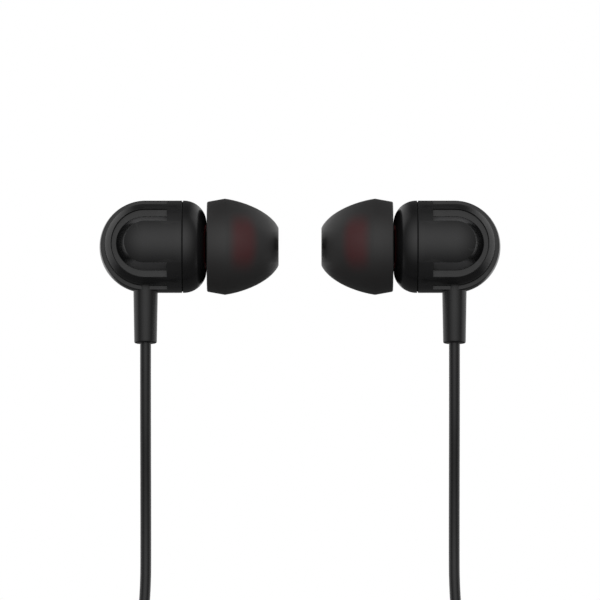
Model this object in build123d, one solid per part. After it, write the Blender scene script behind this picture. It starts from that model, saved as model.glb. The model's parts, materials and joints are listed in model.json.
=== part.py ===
"""Wired in-ear earphones lying on a flat surface, with the spare cord wound into coils.

Frame: X runs across, from the left bud (-X) to the right bud (+X), whose tips face each other;
the cords leave the buds towards -Y; Z is up and the surface is Z = 0. The origin is on the
surface, midway between the buds. Both bud axes lie along X at the height of a tip's radius.

Each bud is drawn in its own frame: stations run along +X from the rear pole of the housing
to the tip, and Y and Z are measured from the bud's axis. The right bud mirrors the left one.
"""
from build123d import *
import os
from math import cos, pi, radians, sin, sqrt, tan

os.makedirs("parts", exist_ok=True)

# Buds: outer form of the housing and the ear tip (stations along the axis, radii about it).
BODY_R = 5.775
TIP_R = 6.03
TIP_GAP = 5.35  # between the two ear tips
RECESS_END = 8.475
SEAM = 10.375
SEAM_GAP = 0.10
NOSE_FILLET = 2.84
FRONT_FACE = 13.385
TIP_FRONT = 22.4

# Stepped U-shaped recess on the upper and lower faces: half-widths, and heights from the axis.
RIDGE_OUTER = 5.04
RIDGE_INNER = 4.17
BULGE_FOOT = 3.44
LOWER_TERRACE = 1.41
UPPER_TERRACE = 3.33
BULGE_SLOPE = 24  # degrees from vertical

# Housing interior.
CHAMBER_R = 4.0
MOUTH_R = 5.10
DRIVER_SEAT = 9.15
SPIGOT_START = 10.15
SPIGOT_R = 5.08
FRONT_CHAMBER_R = 4.5

# Sound nozzle and its mesh.
NECK_R = 2.10
BARB_R = 2.35
BARB_START = 16.9
NOZZLE_END = 18.3
NOZZLE_BORE_R = 1.55
MESH_R = 1.80
MESH_THICK = 0.20
MESH_HOLE_R = 0.16
MESH_PITCH = 0.62

# Driver, a moving-coil unit of 10 mm.
DRIVER_R = 5.0
YOKE_R = 3.6
YOKE_BORE_R = 3.1
YOKE_REAR = 7.3
YOKE_FLOOR = 0.5
YOKE_FRONT = 9.6
MAGNET_R = 2.3
MAGNET_FRONT = 8.9
PLATE_R = 2.4
PLATE_FRONT = 9.4
VENT_R = 0.6
COIL_IN_R = 2.6
COIL_OUT_R = 2.9
COIL_REAR = 8.6
FILM_REAR = 10.05
FILM_THICK = 0.12
FILM_R = 4.05
FILM_DOME = 0.55
BOARD_THICK = 0.35

# Strain relief and cable knot: distances from the bud's axis towards the cord.
RELIEF_END = 12.1
RELIEF_ROOT_R = 1.54
RELIEF_END_R = 1.415
RELIEF_SPIGOT_R = 1.2
RELIEF_EDGE = 0.25
KNOT_R = 1.1
KNOT_START = 1.95
KNOT_END = 3.85

# Ear tip.
TIP_CLEARANCE = 0.12  # tip to the housing's front face
TIP_REAR_R = 5.62
TIP_WIDEST = 15.67
TIP_WALL = 0.52
TIP_MOUTH_R = 2.34
TIP_BORE_R = 1.9
CORE_R = 3.0
CORE_BORE_R = BARB_R + 0.05
CORE_STEP = 18.6
CORE_FRONT = 19.625

# Cords.
BRANCH_D = 1.37
MAIN_D = 2.0
BORE_CLEARANCE = 0.015  # radial, cord in a relief or boot

# Boots of the control: outer radii at the casing and at the end, and length.
BRANCH_BOOT = dict(root_r=1.5, end_r=1.1, length=4.6, cord=BRANCH_D)
MAIN_BOOT = dict(root_r=1.9, end_r=1.45, length=5.5, cord=MAIN_D)
BOOT_GROOVE = 0.3  # depth of the groove that the casing's wall sits in
BOOT_FLANGE = 0.5

# In-line control and splitter.
CTRL_START_Y = -80.0
CTRL_LENGTH = 24.0
CTRL_WIDTH = 11.0
CTRL_HEIGHT = 5.4
CTRL_CORNER = 3.0
CTRL_EDGE = 1.2
CTRL_WALL = 0.9
LIP_WALL = 0.4
LIP_HEIGHT = 0.5
BRANCH_SPREAD = 2.3  # each branch cord's distance from the middle
BUTTON_Y = CTRL_START_Y - 9.0
BUTTON_LENGTH = 9.0
BUTTON_WIDTH = 5.6
BUTTON_PROUD = 0.5
BUTTON_CLEARANCE = 0.12
BUTTON_FLANGE = 0.5
MIC_Y = CTRL_START_Y - 18.5
MIC_R = 2.0
MIC_PORT_R = 0.45
BOARD_BOTTOM = 1.5
BOARD_TOP = 2.3
SWITCH_TOP = 3.3
PLUNGER_R = 0.7
PLUNGER_TOP = 3.7

# Plug: a 3.5 mm jack of four contacts, 14 mm long.
PLUG_X = -21.7
PLUG_START_Y = -100.0  # where the cord enters the plug's boot
PLUG_BOOT = 7.0
PLUG_BOOT_R = 2.1
GRIP_LENGTH = 14.0
GRIP_R = 3.25
SHOULDER = 0.5
SHOULDER_R = 2.45
PIN_R = 1.75
CONTACT_BORE_R = 0.6
INSULATOR = 0.4
SLEEVE_LENGTH = 4.6
RING_LENGTH = 2.35
PIN_LENGTH = 14.0

# Coils of put-away cord: centre, middles of the innermost and outermost turns, layers.
BRANCH_COIL = dict(x=-11.53, y=-57.0, r_in=5.6, r_out=9.5, layers=2)
MAIN_COIL = dict(x=9.4, y=-123.0, r_in=8.75, r_out=14.25, layers=4)
TURN_PITCH = 1.02  # turn spacing, in cord diameters
TIE_THICK = 0.35
TIE_WIDTH = 3.0
BRANCH_TIE_ANGLE = -45
MAIN_TIE_ANGLE = -20

AXIS_Z = TIP_R
LEFT_X = -TIP_GAP / 2 - TIP_FRONT  # rear pole of the left bud
CORD_X = LEFT_X + BODY_R
CTRL_Z = CTRL_HEIGHT / 2
CTRL_END_Y = CTRL_START_Y - CTRL_LENGTH
CTRL_MID_Y = CTRL_START_Y - CTRL_LENGTH / 2
FLOOR_BRANCH = BRANCH_D / 2
FLOOR_MAIN = MAIN_D / 2


# Shared shapes.
def spun(*edges):
    """Solid turned about the X axis from a closed outline of radii over stations."""
    return revolve(make_face(edges), Axis.X, 360)


def disc(start, end, radius, hole=0):
    """Round disc or ring about the X axis between two stations."""
    solid = Pos((start + end) / 2, 0, 0) * Rot(0, 90, 0) * Cylinder(radius, end - start)
    if hole:
        solid -= Pos((start + end) / 2, 0, 0) * Rot(0, 90, 0) * Cylinder(hole, end - start + 1)
    return solid


def along_cord(x, y, z, solid):
    """Places a solid drawn along +Z so that it runs towards -Y from a point."""
    return Pos(x, y, z) * Rot(90, 0, 0) * solid


def rod(start, end, radius):
    """Cylinder along +Z between two distances."""
    return Pos(0, 0, (start + end) / 2) * Cylinder(radius, end - start)


def taper(start, end, start_r, end_r):
    """Cone frustum along +Z between two distances."""
    return Pos(0, 0, (start + end) / 2) * Cone(start_r, end_r, end - start)


# Bud.
def housing_blank():
    """Outer form of the rear housing: a cylinder closed by a hemisphere, still solid."""
    end = SEAM - SEAM_GAP / 2
    knee = BODY_R * (1 - cos(radians(45)))
    return spun(
        Line((0, 0), (end, 0)),
        Line((end, 0), (end, BODY_R)),
        Line((end, BODY_R), (BODY_R, BODY_R)),
        ThreePointArc((BODY_R, BODY_R), (knee, BODY_R * sin(radians(45))), (0, 0)),
    )


def u_slab(half_width, bottom, top, slope=0):
    """Upright slab with a U-shaped plan, round at the rear about the hemisphere's centre."""
    plan = Circle(half_width) + Pos(BODY_R / 2, 0) * Rectangle(BODY_R, 2 * half_width)
    return Pos(BODY_R, 0, bottom) * extrude(plan, top - bottom, taper=slope)


def recess():
    """What the stepped recess takes from the upper face: an outer terrace and an inner trough."""
    top = BODY_R + 0.5
    reach = RECESS_END + 1
    outer_zone = Pos(RECESS_END - reach / 2, 0, (LOWER_TERRACE + top) / 2)
    terrace = outer_zone * Box(reach, 3 * BODY_R, top - LOWER_TERRACE)
    terrace -= u_slab(RIDGE_OUTER, LOWER_TERRACE - 1, top + 1)
    trough = u_slab(RIDGE_INNER, UPPER_TERRACE, top)
    trough -= u_slab(BULGE_FOOT, UPPER_TERRACE, top, BULGE_SLOPE)
    trough -= Pos(RECESS_END + BODY_R, 0, 0) * Box(2 * BODY_R, 3 * BODY_R, 3 * BODY_R)
    return terrace + trough


def recessed_blank():
    """Outer form of the rear housing with the recess on both faces, still solid."""
    cut = recess()
    return housing_blank() - cut - mirror(cut, about=Plane.XY)


def housing_hollow():
    """Inside of the rear housing: a round-ended cable chamber and the driver's mouth."""
    knee = CHAMBER_R * sin(radians(45))
    mouth_end = SEAM + 1
    walls = Polyline(
        (BODY_R - CHAMBER_R, 0),
        (mouth_end, 0),
        (mouth_end, MOUTH_R),
        (DRIVER_SEAT, MOUTH_R),
        (DRIVER_SEAT, CHAMBER_R),
        (BODY_R, CHAMBER_R),
    )
    end = ThreePointArc((BODY_R, CHAMBER_R), (BODY_R - knee, knee), (BODY_R - CHAMBER_R, 0))
    return spun(*walls.edges(), end)


def rear_housing():
    hole = along_cord(BODY_R, 0, 0, rod(CHAMBER_R / 2, BODY_R + 1, RELIEF_SPIGOT_R))
    return recessed_blank() - housing_hollow() - hole


def front_housing():
    """Nose shell with its spigot and the barbed sound nozzle."""
    start = SEAM + SEAM_GAP / 2
    bend = FRONT_FACE - NOSE_FILLET
    face_r = BODY_R - NOSE_FILLET
    inner_bend = FRONT_CHAMBER_R - face_r
    half = sin(radians(45))
    outline = Polyline(
        (bend + inner_bend, face_r),
        (bend + inner_bend, NOZZLE_BORE_R),
        (NOZZLE_END - MESH_THICK, NOZZLE_BORE_R),
        (NOZZLE_END - MESH_THICK, MESH_R),
        (NOZZLE_END, MESH_R),
        (NOZZLE_END, NECK_R - 0.05),
        (NOZZLE_END - 0.3, NECK_R),
        (BARB_START, BARB_R),
        (BARB_START, NECK_R),
        (FRONT_FACE, NECK_R),
        (FRONT_FACE, face_r),
    )
    nose = ThreePointArc(
        (FRONT_FACE, face_r),
        (bend + NOSE_FILLET * half, face_r + NOSE_FILLET * half),
        (bend, BODY_R),
    )
    rim = Polyline(
        (bend, BODY_R),
        (start, BODY_R),
        (start, SPIGOT_R),
        (SPIGOT_START, SPIGOT_R),
        (SPIGOT_START, FRONT_CHAMBER_R),
        (bend, FRONT_CHAMBER_R),
    )
    inner = ThreePointArc(
        (bend, FRONT_CHAMBER_R),
        (bend + inner_bend * half, face_r + inner_bend * half),
        (bend + inner_bend, face_r),
    )
    return spun(*outline.edges(), nose, *rim.edges(), inner)


def nozzle_mesh():
    """Perforated disc at the nozzle's end."""
    holes = [
        Pos(0, y, z) * Rot(0, 90, 0) * Cylinder(MESH_HOLE_R, 1)
        for y, z in hex_grid(MESH_PITCH, MESH_R - 2 * MESH_HOLE_R)
    ]
    middle = NOZZLE_END - MESH_THICK / 2
    return disc(NOZZLE_END - MESH_THICK, NOZZLE_END, MESH_R) - [Pos(middle, 0, 0) * h for h in holes]


def hex_grid(pitch, reach):
    """Centres of a hexagonal grid within a circle."""
    rows = range(-6, 7)
    grid = [((i + 0.5 * (j % 2)) * pitch, j * pitch * sin(radians(60))) for i in rows for j in rows]
    return [(y, z) for y, z in grid if y * y + z * z < reach * reach]


def driver_frame():
    """Basket of the driver: the seated flange, a collar round the yoke and a raised rim."""
    flange = disc(DRIVER_SEAT, DRIVER_SEAT + 0.6, DRIVER_R, YOKE_R)
    collar = disc(YOKE_REAR + 0.8, DRIVER_SEAT, CHAMBER_R - 0.1, YOKE_R)
    rim = disc(DRIVER_SEAT + 0.6, SPIGOT_START, DRIVER_R, DRIVER_R - 0.3)
    return flange + collar + rim


def driver_yoke():
    cup = disc(YOKE_REAR, YOKE_FRONT, YOKE_R) - disc(YOKE_REAR + YOKE_FLOOR, YOKE_FRONT + 1, YOKE_BORE_R)
    return cup - disc(YOKE_REAR - 1, YOKE_FRONT, VENT_R)


def driver_magnet():
    return disc(YOKE_REAR + YOKE_FLOOR, MAGNET_FRONT, MAGNET_R, VENT_R)


def driver_top_plate():
    return disc(MAGNET_FRONT, PLATE_FRONT, PLATE_R, VENT_R)


def voice_coil():
    return disc(COIL_REAR, FILM_REAR, COIL_OUT_R, COIL_IN_R)


def cap_arc(station, rim_r, rise):
    """Arc of a shallow cap centred on the axis, from its rim to its pole."""
    ball = (rim_r**2 + rise**2) / (2 * rise)
    middle = station + rise - ball + sqrt(ball**2 - rim_r**2 / 4)
    return ThreePointArc((station, rim_r), (middle, rim_r / 2), (station + rise, 0))


def diaphragm():
    """Thin film with a domed centre over the voice coil."""
    front = FILM_REAR + FILM_THICK
    dome_r = COIL_IN_R - 0.1
    flat = Polyline((FILM_REAR, dome_r), (FILM_REAR, FILM_R), (front, FILM_R), (front, dome_r))
    return spun(
        *flat.edges(),
        cap_arc(front, dome_r, FILM_DOME),
        Line((front + FILM_DOME, 0), (FILM_REAR + FILM_DOME, 0)),
        cap_arc(FILM_REAR, dome_r, FILM_DOME),
    )


def diaphragm_ring():
    return disc(DRIVER_SEAT + 0.6, SPIGOT_START, DRIVER_R - 0.3, FILM_R + 0.2)


def driver_board():
    """Round terminal board on the back of the yoke."""
    return disc(YOKE_REAR - BOARD_THICK, YOKE_REAR, YOKE_R - 0.4, VENT_R)


def strain_relief():
    """Tapered sleeve whose root follows the housing and whose spigot passes through its wall."""
    sleeve = taper(BODY_R - 1.2, RELIEF_END, RELIEF_ROOT_R, RELIEF_END_R)
    sleeve = fillet(sleeve.edges().sort_by(Axis.Z)[-1], RELIEF_EDGE)
    sleeve = along_cord(BODY_R, 0, 0, sleeve) - recessed_blank()
    spigot = along_cord(BODY_R, 0, 0, rod(KNOT_END + 0.05, BODY_R + 0.5, RELIEF_SPIGOT_R))
    bore = along_cord(BODY_R, 0, 0, rod(0, RELIEF_END + 1, BRANCH_D / 2 + BORE_CLEARANCE))
    return sleeve + spigot - bore


def cable_knot():
    """The knot that keeps the cord from pulling out, as a rounded bead."""
    bead = rod(KNOT_START, KNOT_END, KNOT_R)
    bead = fillet(bead.edges().filter_by(GeomType.CIRCLE), 0.5)
    bead -= rod(0, KNOT_END + 1, BRANCH_D / 2 + BORE_CLEARANCE)
    return along_cord(BODY_R, 0, 0, bead)


def ear_tip():
    """Dome of the ear tip: a skirt open at the rear that folds into the neck at the front."""
    rear = FRONT_FACE + TIP_CLEARANCE
    hollow_end = CORE_FRONT + 0.5
    lip = 0.2
    widest = (TIP_WIDEST, TIP_R)
    mouth = (TIP_FRONT, TIP_MOUTH_R)
    inner_widest = (TIP_WIDEST, TIP_R - TIP_WALL)
    outside = [
        Line((rear, TIP_REAR_R - TIP_WALL), (rear, TIP_REAR_R - lip)),
        Line((rear, TIP_REAR_R - lip), (rear + lip, TIP_REAR_R + 0.03)),
        Line((rear + lip, TIP_REAR_R + 0.03), widest),
        Bezier(widest, (18.05, 5.69), (21.37, 4.41), mouth),
    ]
    neck = Polyline(
        mouth,
        (TIP_FRONT, TIP_BORE_R + lip),
        (TIP_FRONT - lip, TIP_BORE_R),
        (CORE_FRONT, TIP_BORE_R),
        (CORE_FRONT, CORE_R),
        (hollow_end, CORE_R),
    )
    inside = [
        Bezier((hollow_end, CORE_R), (20.2, 4.5), (17.9, 5.2), inner_widest),
        Line(inner_widest, (rear, TIP_REAR_R - TIP_WALL)),
    ]
    return spun(*outside, *neck.edges(), *inside)


def ear_tip_core():
    """Sleeve of the ear tip that grips the nozzle."""
    rear = FRONT_FACE + TIP_CLEARANCE
    sleeve = disc(rear, CORE_FRONT, CORE_R, TIP_BORE_R)
    return sleeve - disc(rear - 1, CORE_STEP, CORE_BORE_R)


BUD = {
    "rear_housing": rear_housing,
    "front_housing": front_housing,
    "nozzle_mesh": nozzle_mesh,
    "driver_frame": driver_frame,
    "driver_yoke": driver_yoke,
    "driver_magnet": driver_magnet,
    "driver_top_plate": driver_top_plate,
    "voice_coil": voice_coil,
    "diaphragm": diaphragm,
    "diaphragm_ring": diaphragm_ring,
    "driver_board": driver_board,
    "strain_relief": strain_relief,
    "cable_knot": cable_knot,
    "ear_tip": ear_tip,
    "ear_tip_core": ear_tip_core,
}


# In-line control and splitter.
def ctrl_slab(inset, bottom, top):
    """Rounded slab of the control's plan, inset all round, between two heights."""
    plan = RectangleRounded(CTRL_WIDTH - 2 * inset, CTRL_LENGTH - 2 * inset, CTRL_CORNER - inset)
    return Pos(0, CTRL_MID_Y, bottom) * extrude(plan, top - bottom)


def ctrl_block():
    """Outer form of the control, still solid."""
    block = ctrl_slab(0, 0, CTRL_HEIGHT)
    return fillet(block.faces().filter_by(Axis.Z).edges(), CTRL_EDGE)


def ctrl_casing():
    """Both shells of the control as one hollow casing."""
    return ctrl_block() - ctrl_slab(CTRL_WALL, CTRL_WALL, CTRL_HEIGHT - CTRL_WALL)


def ctrl_cord_holes():
    """Round holes in the control's ends for the three boots."""
    wall = CTRL_WALL + 0.5
    branch = rod(-0.5, wall, BRANCH_BOOT["root_r"] - BOOT_GROOVE)
    main = rod(-wall, 0.5, MAIN_BOOT["root_r"] - BOOT_GROOVE)
    holes = [along_cord(side * BRANCH_SPREAD, CTRL_START_Y, CTRL_Z, branch) for side in (-1, 1)]
    return [*holes, along_cord(0, CTRL_END_Y, CTRL_Z, main)]


def ctrl_lip(clearance):
    """Locating lip inside the bottom shell's wall, grown outwards by a clearance."""
    lip_inset = CTRL_WALL - LIP_WALL - clearance
    lip = ctrl_slab(lip_inset, CTRL_Z - 0.2, CTRL_Z + LIP_HEIGHT + clearance)
    return lip - ctrl_slab(CTRL_WALL, 0, CTRL_HEIGHT)


def ctrl_bottom_shell():
    below = Pos(0, CTRL_MID_Y, CTRL_Z / 2) * Box(CTRL_WIDTH + 1, CTRL_LENGTH + 1, CTRL_Z)
    posts = [
        Pos(x, CTRL_MID_Y + y, (CTRL_WALL + BOARD_BOTTOM) / 2) * Cylinder(0.7, BOARD_BOTTOM - CTRL_WALL)
        for x in (-2.6, 2.6)
        for y in (-6.5, 6.5)
    ]
    return ((ctrl_casing() & below) + posts + ctrl_lip(0)) - ctrl_cord_holes()


def ctrl_top_shell():
    above = Pos(0, CTRL_MID_Y, CTRL_Z * 1.5) * Box(CTRL_WIDTH + 1, CTRL_LENGTH + 1, CTRL_Z)
    port = Pos(0, MIC_Y, CTRL_HEIGHT) * Cylinder(MIC_PORT_R, 3)
    opening = button_slab(BUTTON_CLEARANCE, CTRL_Z, CTRL_HEIGHT + 1)
    return (ctrl_casing() & above) - ctrl_lip(0.02) - opening - port - ctrl_cord_holes()


def button_slab(grow, bottom, top):
    """Pill-shaped slab about the button's middle, grown all round."""
    plan = SlotOverall(BUTTON_LENGTH + 2 * grow, BUTTON_WIDTH + 2 * grow, 90)
    return Pos(0, BUTTON_Y, bottom) * extrude(plan, top - bottom)


def ctrl_button():
    """Button cap with a retaining flange below the shell and a stem over the switch."""
    ceiling = CTRL_HEIGHT - CTRL_WALL
    cap = button_slab(0, ceiling - 0.4, CTRL_HEIGHT + BUTTON_PROUD)
    cap = fillet(cap.faces().sort_by(Axis.Z)[-1].edges(), 0.35)
    flange = button_slab(BUTTON_FLANGE, ceiling - 0.6, ceiling - 0.15)
    stem = Pos(0, BUTTON_Y, (PLUNGER_TOP + ceiling) / 2) * Cylinder(1.2, ceiling - PLUNGER_TOP)
    return cap + flange + stem


def ctrl_board():
    """Circuit board between the boots' inner flanges."""
    height = BOARD_TOP - BOARD_BOTTOM
    return Pos(0, CTRL_MID_Y, BOARD_BOTTOM + height / 2) * Box(8.4, CTRL_LENGTH - 4.8, height)


def ctrl_switch():
    height = SWITCH_TOP - BOARD_TOP
    body = Pos(0, BUTTON_Y, BOARD_TOP + height / 2) * Box(3.6, 3.2, height)
    return body - Pos(0, BUTTON_Y, SWITCH_TOP) * Cylinder(PLUNGER_R + 0.05, 1.5)


def ctrl_plunger():
    return Pos(0, BUTTON_Y, PLUNGER_TOP - 0.35) * Cylinder(PLUNGER_R, 0.7)


def ctrl_microphone():
    return Pos(0, MIC_Y, BOARD_TOP + 0.75) * Cylinder(MIC_R, 1.5)


def boot(place, root_r, end_r, length, cord):
    """Tapered boot on the casing's end, grooved where it passes through the wall."""
    sleeve = rod(-CTRL_WALL, 0, root_r) + taper(0, length, root_r, end_r)
    neck = rod(-CTRL_WALL, 0.1, root_r - BOOT_GROOVE)
    flange = rod(-CTRL_WALL - BOOT_FLANGE, -CTRL_WALL, root_r)
    bore = rod(-CTRL_WALL - 1, length + 1, cord / 2 + BORE_CLEARANCE)
    outside = place * sleeve - ctrl_block()
    inside = place * flange - ctrl_casing()
    return outside + place * neck + inside - place * bore


def branch_boot(side):
    """Boot of one branch cord, pointing from the control back towards the buds."""
    place = Pos(side * BRANCH_SPREAD, CTRL_START_Y, CTRL_Z) * Rot(-90, 0, 0)
    return boot(place, **BRANCH_BOOT)


def main_boot():
    return boot(Pos(0, CTRL_END_Y, CTRL_Z) * Rot(90, 0, 0), **MAIN_BOOT)


# Plug.
def contact(start, length):
    """One ring of the jack, drawn along +Z from the shoulder's face."""
    return rod(start, start + length, PIN_R) - rod(start - 1, start + length + 1, CONTACT_BORE_R)


def pin_stations():
    """Where each straight piece of the pin starts, from the shoulder's face, and its length."""
    stations = {}
    start = 0
    pieces = ("sleeve", SLEEVE_LENGTH), ("gap_1", INSULATOR), ("ring_1", RING_LENGTH)
    pieces += ("gap_2", INSULATOR), ("ring_2", RING_LENGTH), ("gap_3", INSULATOR)
    for name, length in pieces:
        stations[name] = (start, length)
        start += length
    stations["tip"] = (start, PIN_LENGTH - start)
    return stations


def placed_on_plug(solid):
    """Places a solid drawn along +Z from the pin's shoulder face."""
    face_y = PLUG_START_Y - PLUG_BOOT - GRIP_LENGTH - SHOULDER
    return along_cord(PLUG_X, face_y, GRIP_R, solid)


def plug_grip():
    """Moulded grip with a shallow waist of finger rings and a bore for the jack and the boot."""
    back = -SHOULDER - GRIP_LENGTH
    grip = rod(back, -SHOULDER, GRIP_R)
    grip = fillet(grip.edges().filter_by(GeomType.CIRCLE), 0.6)
    for i in range(4):
        ring = Pos(0, 0, back + 3.0 + 1.6 * i) * Torus(GRIP_R + 0.12, 0.38)
        grip -= ring
    front_bore = rod(-SHOULDER - 4, 0, PIN_R) + rod(-SHOULDER - 4, -SHOULDER - 3, SHOULDER_R)
    back_bore = rod(back - 1, back + 3, PLUG_BOOT_R)
    core = rod(back, -SHOULDER, MAIN_D / 2 + BORE_CLEARANCE)
    return placed_on_plug(grip - front_bore - back_bore - core)


def plug_boot():
    back = -SHOULDER - GRIP_LENGTH
    body = rod(back, back + 3, PLUG_BOOT_R) + taper(back - PLUG_BOOT, back, 1.45, PLUG_BOOT_R)
    return placed_on_plug(body - rod(back - PLUG_BOOT - 1, back + 4, MAIN_D / 2 + BORE_CLEARANCE))


def plug_sleeve():
    start, length = pin_stations()["sleeve"]
    body = contact(start, length) + (rod(-SHOULDER, 0, SHOULDER_R) - rod(-1, 1, CONTACT_BORE_R))
    tail = rod(-SHOULDER - 4, -SHOULDER, PIN_R) + rod(-SHOULDER - 4, -SHOULDER - 3, SHOULDER_R)
    return placed_on_plug(body + tail - rod(-8, 1, CONTACT_BORE_R))


def plug_ring(name):
    return placed_on_plug(contact(*pin_stations()[name]))


def plug_insulators():
    """The three insulating rings, as separate solids of one group."""
    rings = [placed_on_plug(contact(*pin_stations()[gap])) for gap in ("gap_1", "gap_2", "gap_3")]
    return Compound(children=rings)


def plug_tip():
    """Pointed tip contact with its waist, and the rod that runs back through the jack."""
    start, length = pin_stations()["tip"]
    outline = Polyline(
        (0, start),
        (1.55, start),
        (1.2, start + 0.4),
        (1.2, start + 0.9),
        (1.72, start + 1.6),
        (1.72, start + 1.9),
        (0.75, start + length - 0.3),
        (0.35, start + length),
        (0, start + length),
        (0, start),
    )
    head = revolve(Plane.XZ * make_face(outline.edges()), Axis.Z, 360)
    return placed_on_plug(head + rod(-SHOULDER - 4, start, CONTACT_BORE_R))


# Cords and coils. Each route is a list of points chosen by hand.
def corner_radii(points):
    """Largest even bend at each corner: 0.45 of the shorter run over the tangent of half the turn."""
    vectors = [Vector(*p) for p in points]
    radii = []
    for before, corner, after in zip(vectors, vectors[1:], vectors[2:]):
        run_in = corner - before
        run_out = after - corner
        half_turn = radians(run_in.get_angle(run_out)) / 2
        radii.append(0.45 * min(run_in.length, run_out.length) / tan(half_turn))
    return radii


def cord_tube(name, points, diameter):
    """Tube of a cord: straight runs joined by tangent arcs."""
    radii = corner_radii(points)
    path = FilletPolyline(*points, radius=radii)
    section = Plane(origin=path @ 0, z_dir=path % 0) * Circle(diameter / 2)
    tube = sweep(section, path=path)
    ideal = pi * diameter**2 / 4 * path.length
    radii_text = ", ".join(f"{r:.1f}" for r in radii)
    print(f"{name}: {path.length:.1f} mm, radii {radii_text}, volume ratio {tube.volume / ideal:.4f}")
    return tube


LEFT_UPPER_ROUTE = [
    (CORD_X, -2.2, AXIS_Z),
    (CORD_X, -17.0, AXIS_Z),
    (CORD_X, -34.0, FLOOR_BRANCH),
    (CORD_X, -45.0, FLOOR_BRANCH),
    (-21.0, -54.5, FLOOR_BRANCH),
    (-20.7, -61.0, FLOOR_BRANCH),
]
LEFT_LOWER_ROUTE = [
    (-17.4, -64.4, 2.1),
    (-12.2, -66.9, 1.9),
    (-6.3, -68.6, 1.6),
    (-BRANCH_SPREAD, -72.8, CTRL_Z),
    (-BRANCH_SPREAD, -78.6, CTRL_Z),
]
MAIN_UPPER_ROUTE = [
    (0.0, -104.8, CTRL_Z),
    (0.0, -110.0, CTRL_Z),
    (-2.4, -115.2, FLOOR_MAIN),
    (-4.5, -120.2, FLOOR_MAIN),
    (-4.75, -125.2, FLOOR_MAIN),
]
MAIN_LOWER_ROUTE = [
    (10.1, -108.8, 7.1),
    (5.7, -109.3, 7.2),
    (1.4, -111.1, 7.4),
    (-4.3, -109.6, 6.7),
    (-7.3, -104.4, 4.9),
    (-7.3, -96.0, 2.3),
    (-11.5, -91.8, 1.3),
    (-17.5, -91.8, 1.5),
    (PLUG_X, -96.0, GRIP_R),
    (PLUG_X, -101.8, GRIP_R),
]


def coil_section(coil, diameter):
    """Radial width and height of a coil of cord."""
    width = coil["r_out"] - coil["r_in"] + diameter
    height = diameter * (1 + (coil["layers"] - 1) * TURN_PITCH)
    return width, height


def cord_coil(coil, diameter):
    """Closed ring of the outer shape of a coil of cord."""
    width, height = coil_section(coil, diameter)
    middle = (coil["r_in"] + coil["r_out"]) / 2
    section = Plane.XZ * Pos(middle, height / 2) * RectangleRounded(width, height, 0.3 * height)
    return Pos(coil["x"], coil["y"], 0) * revolve(section, Axis.Z, 360)


def coil_tie(coil, diameter, angle):
    """Flat band round a coil's section at one angle, with its lowest side on the surface."""
    width, height = coil_section(coil, diameter)
    middle = (coil["r_in"] + coil["r_out"]) / 2
    outer = Pos(0, (height + TIE_THICK) / 2) * RectangleRounded(width + 2 * TIE_THICK, height + TIE_THICK, 0.8)
    inner = Pos(0, (height + TIE_THICK) / 2) * RectangleRounded(width, height - TIE_THICK, 0.5)
    band = extrude(Plane.XZ * (outer - inner), TIE_WIDTH / 2, both=True)
    return Pos(coil["x"], coil["y"], 0) * Rot(0, 0, angle) * Pos(middle, 0, 0) * band


def mirrored(solid):
    """The right bud's copy of a left-hand solid."""
    return mirror(solid, about=Plane.YZ)


def build_nodes():
    """Every node of the earphones, by name, in the shared frame."""
    nodes = {}
    for name, make in BUD.items():
        left = Pos(LEFT_X, 0, AXIS_Z) * make()
        nodes["left_" + name] = left
        nodes["right_" + name] = mirrored(left)
    left_hand = {
        "cord_upper": cord_tube("branch upper", LEFT_UPPER_ROUTE, BRANCH_D),
        "cord_lower": cord_tube("branch lower", LEFT_LOWER_ROUTE, BRANCH_D),
        "cord_coil": cord_coil(BRANCH_COIL, BRANCH_D),
        "coil_tie": coil_tie(BRANCH_COIL, BRANCH_D, BRANCH_TIE_ANGLE),
        "branch_boot": branch_boot(-1),
    }
    for name, left in left_hand.items():
        nodes["left_" + name] = left
        nodes["right_" + name] = mirrored(left)
    nodes |= {
        "main_cord_upper": cord_tube("main upper", MAIN_UPPER_ROUTE, MAIN_D),
        "main_cord_lower": cord_tube("main lower", MAIN_LOWER_ROUTE, MAIN_D),
        "main_cord_coil": cord_coil(MAIN_COIL, MAIN_D),
        "main_coil_tie": coil_tie(MAIN_COIL, MAIN_D, MAIN_TIE_ANGLE),
        "control_bottom_shell": ctrl_bottom_shell(),
        "control_top_shell": ctrl_top_shell(),
        "control_button": ctrl_button(),
        "control_board": ctrl_board(),
        "control_switch": ctrl_switch(),
        "control_plunger": ctrl_plunger(),
        "control_microphone": ctrl_microphone(),
        "main_boot": main_boot(),
        "plug_grip": plug_grip(),
        "plug_boot": plug_boot(),
        "plug_sleeve": plug_sleeve(),
        "plug_ring_1": plug_ring("ring_1"),
        "plug_ring_2": plug_ring("ring_2"),
        "plug_insulators": plug_insulators(),
        "plug_tip": plug_tip(),
    }
    return nodes


for node, shape in build_nodes().items():
    export_step(shape, f"parts/{node}.step")
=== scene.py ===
"""Looks of the wired earphones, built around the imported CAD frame.

Shapes are drawn in millimetres. A bud's shapes use its own frame: stations along the axis from
the rear pole of the housing towards the tip, Y across and Z up from the axis. The right bud
mirrors the left one. Cord routes repeat the CAD routes, in metres.
"""
import json
from math import acos, asin, atan2, cos, degrees, hypot, pi, radians, sin, sqrt, tan

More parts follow.
